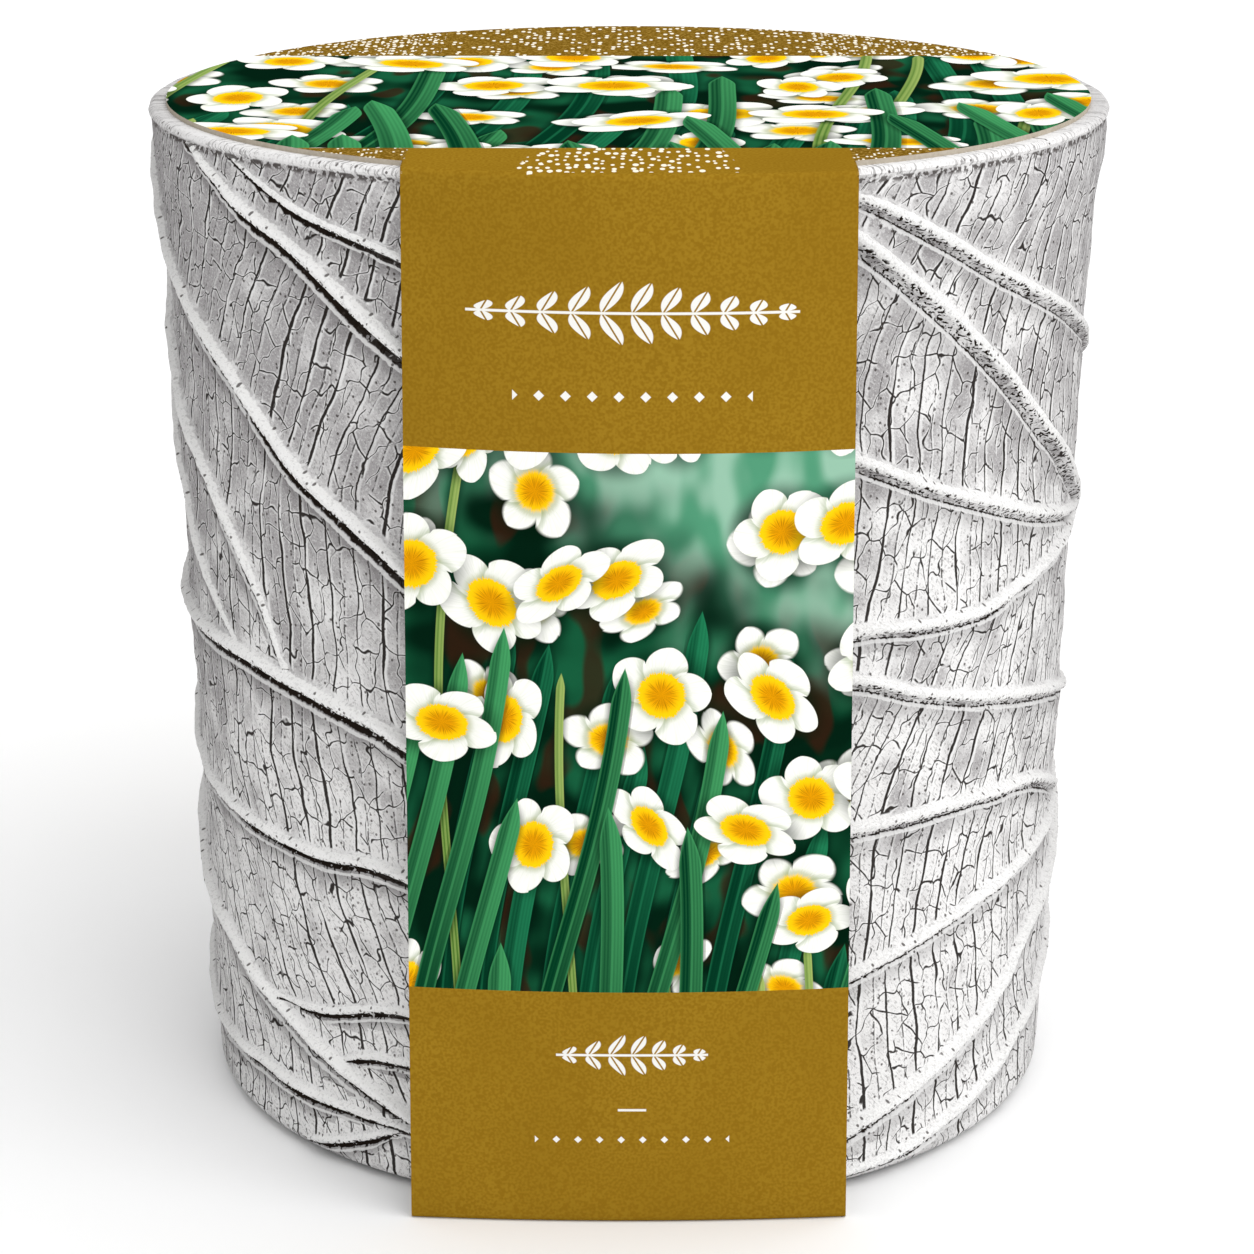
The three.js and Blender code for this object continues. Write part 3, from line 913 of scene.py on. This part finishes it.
def half_rows(shift, droop):
    """Rows of the sheet from its seam under the base, up the strip and over the fold, each with
    its places across the strip. They face the front, and the caller turns them for the back.
    Droop lowers the fold, so that the flap slopes down from the round edge of the lid."""
    rows = []
    for part in np.linspace(0.004, 1, 7)[:-1]:
        x = share * strip_width(0) / 2
        rows.append([x, -part * (strip_face(x, 0, shift) - crease), np.zeros_like(x)])
    for bend in np.radians((0, 30, 60)):
        x = share * strip_width(0) / 2
        out = strip_face(x, 0, shift) - crease * (1 - math.sin(bend))
        rows.append([x, -out, np.full_like(x, crease * (1 - math.cos(bend)))])
    for up in snapped(np.linspace(crease, sleeve_top - crease, 46), (window_low, window_high)):
        x = share * strip_width(up) / 2
        lowered = up - droop * smooth_share(up, 100, sleeve_top)
        rows.append([x, -strip_face(x, up, shift), lowered])
    fold_line = strip_face(top_x, sleeve_top, shift)
    for bend in np.radians((22, 45, 67)):
        out = fold_line - crease * (1 - math.cos(bend))
        rows.append([top_x, -out, sleeve_top - crease * (1 - math.sin(bend)) - droop])
    for part in np.linspace(0, 1, 9)[:-1]:
        start = fold_line - crease
        rows.append([top_x, -(start + (lid_arc - start) * part), sleeve_top - droop * (1 - part) ** 1.5])
    for part in np.linspace(0, 1, 4)[:-1]:
        rows.append([top_x, -(lid_arc + (lid_start - lid_arc) * part), np.full_like(top_x, sleeve_top)])
    return [np.stack(np.broadcast_arrays(*row), 1) for row in rows]


lid_angle = math.acos(lid_start / lid_radius)
lid_levels = -lid_radius * np.cos(np.linspace(lid_angle, math.pi - lid_angle, 65))
lid_rows = [
    np.stack([top_x, np.full_like(top_x, lid_y), np.full_like(top_x, sleeve_top)], 1)
    for lid_y in snapped(lid_levels, (lid_window_front, lid_window_rear))
]
about_face = np.array([-1, -1, 1])
rear_droop = 0.33 * (strip_face(top_x, sleeve_top, 0) - lid_arc) + 0.1
front_rows = half_rows(crown_shift, 0.0)
rear_rows = [row[::-1] * about_face for row in half_rows(0, rear_droop)]
sheet_rows = [*front_rows, *lid_rows, *rear_rows[::-1]]

bpy.ops.object.select_all(action="DESELECT")
sheet_columns = strip_columns + 2 * wing_columns
bpy.ops.mesh.primitive_grid_add(
    x_subdivisions=sheet_columns,
    y_subdivisions=len(sheet_rows) - 1,
    size=100 * mm,
)
sleeve = bpy.context.object
sleeve.name = "printed_card_sleeve"
outward = np.linspace(0, 1, wing_columns + 1)[1:, None]
grid = []
for row in sheet_rows:
    left, right = row[:1], row[-1:]
    wing = math.sqrt(max(lid_radius**2 - row[0, 1] ** 2, 0)) - strip_top_width / 2
    on_lid = any(row is lid_row for lid_row in lid_rows)
    reach = max(wing, 0) if on_lid else 0
    stretch = outward * np.array([[reach, 0, 0]])
    grid.append(np.concatenate([(left - stretch)[::-1], row, right + stretch]))
grid = np.concatenate(grid)
move_vertices(sleeve, grid)

# Where each place is on the flat sheet: across it, and along it from the seam at the front foot.
row_size = sheet_columns + 1
front_end = len(front_rows) * row_size
rear_start = (len(front_rows) + len(lid_rows)) * row_size
x, y, z = grid.T
along = sleeve_top + fold_distance + y
strip_end = (z < sleeve_top - crease * 0.99) & (np.arange(len(grid)) < front_end)
along[strip_end] = z[strip_end]
strip_end = (z < sleeve_top - crease * 0.99 - 0.9) & (np.arange(len(grid)) >= rear_start)
along[strip_end] = 2 * sleeve_top + 2 * fold_distance - z[strip_end]
sheet = sleeve.data.attributes.new("sheet", "FLOAT_VECTOR", "POINT")
sheet.data.foreach_set("vector", np.stack([x, along, z], 1).astype(np.float32).ravel())

bpy.ops.object.mode_set(mode="EDIT")
bpy.ops.mesh.select_all(action="SELECT")
bpy.ops.mesh.remove_doubles(threshold=0.003 * mm)
bpy.ops.mesh.normals_make_consistent(inside=False)
bpy.ops.object.mode_set(mode="OBJECT")


def ochre_ink(tree, spot):
    """Flat ochre ink with the card's grain showing through it."""
    speck = ramp(grain(spot, 0.35, 0), 0.3, 0.7)
    ink = mixed(speck, (0.265, 0.142, 0.009, 1), (0.32, 0.182, 0.014, 1))
    return mixed(ramp(grain(spot, 14, 1), 0.3, 0.7) * 0.35, ink, (0.25, 0.133, 0.008, 1))


def within(field, low, high, soft=0.05):
    """1 where the field lies between low and high."""
    return ramp(field, low - soft, low + soft) * ramp(field, high + soft, high - soft)


def print_blades(under, x, y, lean, seed, heights, wide, spacing, colours):
    """A row of strap leaves, the wide measure half a leaf, each with its own height between two,
    green and soft bow, and with fine ribs, a pale keel and a pale edge."""
    bow = (y * 0.055 + x * 0.021 + seed).step("SINE") * 2.2
    across = (x - y * lean + bow) / spacing + seed
    number = across.step("FLOOR")
    which = {"Vector": joined(number, seed, 3.0)}
    luck = add_node(x.socket.id_data, "TexWhiteNoise", which, noise_dimensions="2D")
    tone, tallness, _ = parted(luck.outputs["Color"])
    place = (across - number - 0.5).step("MULTIPLY_ADD", spacing, (tone - 0.5) * (spacing - wide * 2.2))
    shortest, tallest = heights
    tip = tallness.step("MULTIPLY_ADD", tallest - shortest, shortest)
    width = ramp(y, tip, tip - wide * 4).step("POWER", 0.55) * wide
    off_keel = abs(place)
    mask = ramp(off_keel, width, width - 0.1)
    dark, light = colours
    ribs = (place * 17.0).step("SINE") * 0.1
    lit = ramp(place, -0.3, 0.35).step("MULTIPLY_ADD", 0.45, tone * 0.45 + ribs)
    leaf = mixed(lit * ramp(y, tip - 55, tip), dark, light)
    pale = larger(ramp(off_keel, 0.2, 0.06), ramp(off_keel, width - 0.35, width - 0.1))
    leaf = mixed(pale * 0.42, leaf, light)
    shadow = ramp(off_keel, width + 0.8, width - 0.3) * ramp(y, tip, tip - 3)
    under = mixed(shadow * 0.7, under, (0.001, 0.01, 0.005, 1))
    return mixed(mask, under, leaf)


def print_blossoms(under, place, seed, amount, size, blur):
    """A scatter of white flowers, each with five broad petals that lap round like a pinwheel and a
    golden boss of stamens. Each is turned and tipped its own way and casts a soft shadow."""
    tree = place.id_data
    moved = {"Vector": place, "Center": (seed, seed * 3.7, 0), "Angle": seed}
    place = add_node(tree, "VectorRotate", moved, rotation_type="Z_AXIS").outputs[0]
    found = cells(place, size * 2.4, "F1", 0.3, "2D")
    luck, tip, fate = parted(found["Color"])
    middle = found["Position"]
    offset = add_node(tree, "VectorMath", {0: place, 1: middle}, operation="SUBTRACT").outputs[0]
    spun = {"Vector": offset, "Angle": luck * math.tau}
    turned = add_node(tree, "VectorRotate", spun, rotation_type="Z_AXIS")
    across, along, _ = parted(turned.outputs[0])
    along = along / (0.55 + tip * 0.45)
    grown = luck.step("MULTIPLY_ADD", 0.24 * size, 0.84 * size)
    radius = (across * across + along * along).step("SQRT") / grown
    sector = along.step("ARCTAN2", across) * (5 / math.tau) + radius * 0.2
    petal = sector.step("FLOOR")
    streaks = grain(joined(sector * 24.0 + luck * 50.0, radius * 1.6), 1.0, 1, dimensions="2D")
    petal_place = sector - petal - 0.5
    whim = (petal * 2.4 + luck * 20.0).step("SINE") * 0.06
    fullness = larger(1.0 - (radius - whim).step("POWER", 2.3), 0.0)
    spread = fullness.step("POWER", 0.62) * 0.74
    own = spread - abs(petal_place)
    last = spread - (petal_place + 1.0)
    soft = 0.03 + blur
    under_last = ramp(last, -0.26, -0.02) * ramp(last, 0.02, -0.02)
    shade = under_last * 0.5 + ramp(radius, 0.8, 0.4) * 0.22
    shade = shade + (streaks - 0.42) * 0.45 + ramp(own, 0.16, 0.0) * 0.12
    petals = mixed(shade, (0.95, 0.95, 0.9, 1), (0.36, 0.43, 0.27, 1))
    boss = radius + (streaks - 0.5) * 0.14
    gold = mixed(ramp(boss, 0.12, 0.4), (0.78, 0.33, 0.002, 1), (1.0, 0.6, 0.005, 1))
    gold = mixed(ramp(streaks, 0.5, 0.66) * ramp(boss, 0.44, 0.2), gold, (0.42, 0.17, 0.002, 1))
    petals = mixed(ramp(boss, 0.6, 0.46) * 0.5, petals, (0.33, 0.36, 0.1, 1))
    flower = mixed(ramp(boss, 0.47, 0.45 - blur), petals, gold)
    present = fate.step("LESS_THAN", amount)
    mask = ramp(larger(own, last), 0.0, soft) * present
    shadow = ramp(radius, 1.2, 0.7) * present
    under = mixed(shadow * 0.7, under, (0.001, 0.01, 0.004, 1))
    return mixed(mask, under, flower)


def meadow(x, y, in_strip):
    """The printed picture: many white flowers with golden middles above upright strap leaves,
    with dark gaps between them and a pale blur in the strip's far corner."""
    place = joined(x, y)
    soft = grain(place, 9, 1, dimensions="2D")
    patches = grain(joined(x + 40.0, y * 0.5), 5, 1, dimensions="2D")
    ground = mixed(ramp(soft, 0.35, 0.7), (0.001, 0.014, 0.006, 1), (0.008, 0.1, 0.042, 1))
    ground = mixed(ramp(patches, 0.54, 0.64) * 0.8, ground, (0.03, 0.011, 0.005, 1))
    far = ramp(x * 0.5 + y + soft * 26.0, 72, 94) * in_strip
    haze = mixed(ramp(patches, 0.35, 0.65), (0.09, 0.33, 0.19, 1), (0.32, 0.57, 0.42, 1))
    ground = mixed(far * 0.9, ground, haze)
    mid = ((0.001, 0.035, 0.015, 1), (0.015, 0.2, 0.085, 1))
    near = ((0.001, 0.04, 0.015, 1), (0.06, 0.34, 0.12, 1))
    stalk = ((0.07, 0.17, 0.025, 1), (0.38, 0.5, 0.14, 1))
    rear_leaves = {"lean": 0.1, "seed": 1.37, "heights": (0, 60), "wide": 1.3, "spacing": 4.6}
    stalks = {"lean": 0.05, "seed": 11.7, "heights": (-60, 68), "wide": 0.55, "spacing": 4.9}
    tall_leaves = {"lean": 0.14, "seed": 8.61, "heights": (-16, 46), "wide": 1.25, "spacing": 4.4}
    front_leaves = {"lean": -0.08, "seed": 2.91, "heights": (-24, 30), "wide": 1.35, "spacing": 4.2}
    ground = print_blades(ground, x, y, colours=mid, **rear_leaves)
    ground = print_blossoms(ground, place, seed=3.37, amount=0.75, size=5.8, blur=0.1)
    ground = print_blades(ground, x, y, colours=stalk, **stalks)
    ground = print_blossoms(ground, place, seed=7.71, amount=0.8, size=6.6, blur=0.0)
    ground = print_blades(ground, x, y, colours=near, **tall_leaves)
    ground = print_blossoms(ground, place, seed=12.43, amount=0.72, size=6.9, blur=0.0)
    return print_blades(ground, x, y, colours=near, **front_leaves)


def foil_specks(x, y, size, amount):
    """Pale foil flecks of uneven size, in loose rows."""
    flecks = cells(joined(x, y), size, "F1", 0.75, "2D")
    big = parted(flecks["Color"])[0]
    radius = 0.14 + big * 0.2
    kept = big.step("GREATER_THAN", 1 - amount)
    return ramp(Field(flecks["Distance"]), radius + 0.03, radius - 0.03) * kept


def sprig(x, y, pitch, leaves, longest):
    """A white line sprig: a stem along x with paired leaves that shrink to its ends."""
    half = pitch * leaves / 2
    inside = ramp(abs(x), half, half - 0.05)
    taper = 1.0 - abs(x) / (half * 1.25)
    side = abs(y)
    share = x / pitch - side * 0.6 / pitch + 0.5
    number = share.step("FLOOR")
    place = (share - number - 0.5) * pitch
    length = longest * taper
    width = (side / length) * (1.0 - side / length) * pitch * 1.15
    leaf = ramp(abs(place), width + 0.06, width - 0.06) * ramp(side, length, length - 0.1)
    vein = ramp(abs(place), 0.07, 0.16)
    stem = ramp(side, 0.2, 0.1)
    return larger(leaf * vein, stem) * inside


def diamonds(x, y, pitch, count, size):
    """A row of small white diamonds along x."""
    place = (x / pitch).step("FRACT") - 0.5
    half = count * pitch / 2
    shape = ramp(abs(place) * pitch + abs(y), size + 0.05, size - 0.05)
    return shape * ramp(abs(x), half, half - 0.01)


def sheet_place(tree):
    """How far across the flat sheet a place is, how far along it, and how far back on the lid."""
    across, along, _ = parted(stored(tree, "sheet"))
    return across, along, along - (sleeve_top + fold_distance)


def print_ochre(tree, spot):
    """The printed side round the pictures: white ornaments on ochre, and foil flecks on the lid."""
    colour = ochre_ink(tree, spot)
    across, along, lid_y = sheet_place(tree)
    line = across - 0.4
    ornaments = larger(
        sprig(line, along - 113.2, pitch=3.4, leaves=11, longest=3.9),
        diamonds(line, along - 103.6, pitch=3.0, count=9, size=0.6),
        sprig(line, along - 22.4, pitch=2.6, leaves=7, longest=3.0),
        within(line, -1.7, 1.7) * within(along, 15.0, 15.3),
        diamonds(line, along - 11.2, pitch=2.6, count=9, size=0.45),
        sprig(line, along - 315, pitch=3.4, leaves=7, longest=3.6),
    )
    colour = mixed(ornaments, colour, (0.84, 0.83, 0.79, 1))
    on_lid = within(lid_y, -60.4, 59.4)
    wings = ramp(abs(across), strip_top_width / 2 - 0.3, strip_top_width / 2) * on_lid
    behind = within(lid_y, 28, 58.8)
    glitter = grain(spot, 0.45, 2, 0.7)
    dull = (wings + behind).step("MINIMUM", 1.0)
    colour = mixed(dull * 0.6, colour, (0.1, 0.05, 0.005, 1))
    colour = mixed(dull * ramp(glitter, 0.5, 0.62) * 0.7, colour, (0.46, 0.29, 0.06, 1))
    row_y = lid_y * 0.42
    front_part = within(lid_y, -59.4, -43.6) * ramp(abs(across) + (lid_y + 52) * 0.16, 12.0, 11.6)
    specks = larger(
        foil_specks(across, row_y, size=1.05, amount=0.85) * front_part,
        foil_specks(across, row_y, size=0.9, amount=0.4) * behind,
        foil_specks(across, row_y, size=0.5, amount=0.25) * wings,
    )
    return mixed(specks, colour, (0.93, 0.87, 0.72, 1))


def print_picture(tree, spot):
    """The printed side in the two windows, a larger cut of the same picture on the lid."""
    across, along, lid_y = sheet_place(tree)
    in_strip = along.step("LESS_THAN", window_high + 1)
    enlarged = 0.67 + in_strip * 0.33
    picture_x = (across + 158 - in_strip * 132) * enlarged
    picture_y = (along - window_low - 114 + in_strip * 114) * enlarged
    return meadow(picture_x, picture_y, in_strip)


def raw_card(tree, spot):
    """The card's unprinted inside, a warm grey board."""
    flecks = ramp(grain(spot, 0.7, 3, 0.7), 0.6, 0.72)
    return mixed(flecks * 0.5, (0.46, 0.4, 0.32, 1), (0.3, 0.25, 0.19, 1))


def cut_edge(tree, spot):
    """The die-cut edge, pale board."""
    return mixed(grain(spot, 0.5, 2), (0.4, 0.34, 0.26, 1), (0.58, 0.53, 0.45, 1))


def new_card_material(name, paint):
    """A card material: its colour comes from paint, and its surface is the card's."""
    material, tree, shader = new_material(name)
    spot, _ = object_place(tree)
    feed(shader.inputs["Base Color"], paint(tree, spot))
    shader.inputs["Roughness"].default_value = 0.62
    shader.inputs["Specular IOR Level"].default_value = 0.0
    add_bump(tree, shader, grain(spot, 9, 0) * 0.3)
    return material


paints = {
    "printed_card": print_ochre,
    "raw_card": raw_card,
    "cut_card_edge": cut_edge,
    "printed_picture": print_picture,
}
for name, paint in paints.items():
    sleeve.data.materials.append(new_card_material(name, paint))
printed_slot, raw_slot, edge_slot, picture_slot = range(len(paints))

thickness = sleeve.modifiers.new("card", "SOLIDIFY")
thickness.thickness = card * mm
thickness.offset = -1
thickness.use_even_offset = True
thickness.material_offset = raw_slot
thickness.material_offset_rim = edge_slot
bpy.ops.object.modifier_apply(modifier="card")
bpy.ops.object.shade_smooth_by_angle(angle=math.radians(32))

# The windows' faces on the printed side take the picture.
centres = face_centres(sleeve)
slots = np.empty(len(centres), np.int32)
sleeve.data.polygons.foreach_get("material_index", slots)
_, y, z = centres.T
on_front = (y < -fold_distance * 0.7) & (z > window_low) & (z < window_high)
on_top = (z > sleeve_top - 0.1) & (y > lid_window_front) & (y < lid_window_rear)
slots[(slots == printed_slot) & (on_front | on_top)] = picture_slot
sleeve.data.polygons.foreach_set("material_index", slots)
show(sleeve, ["card_sleeve"])
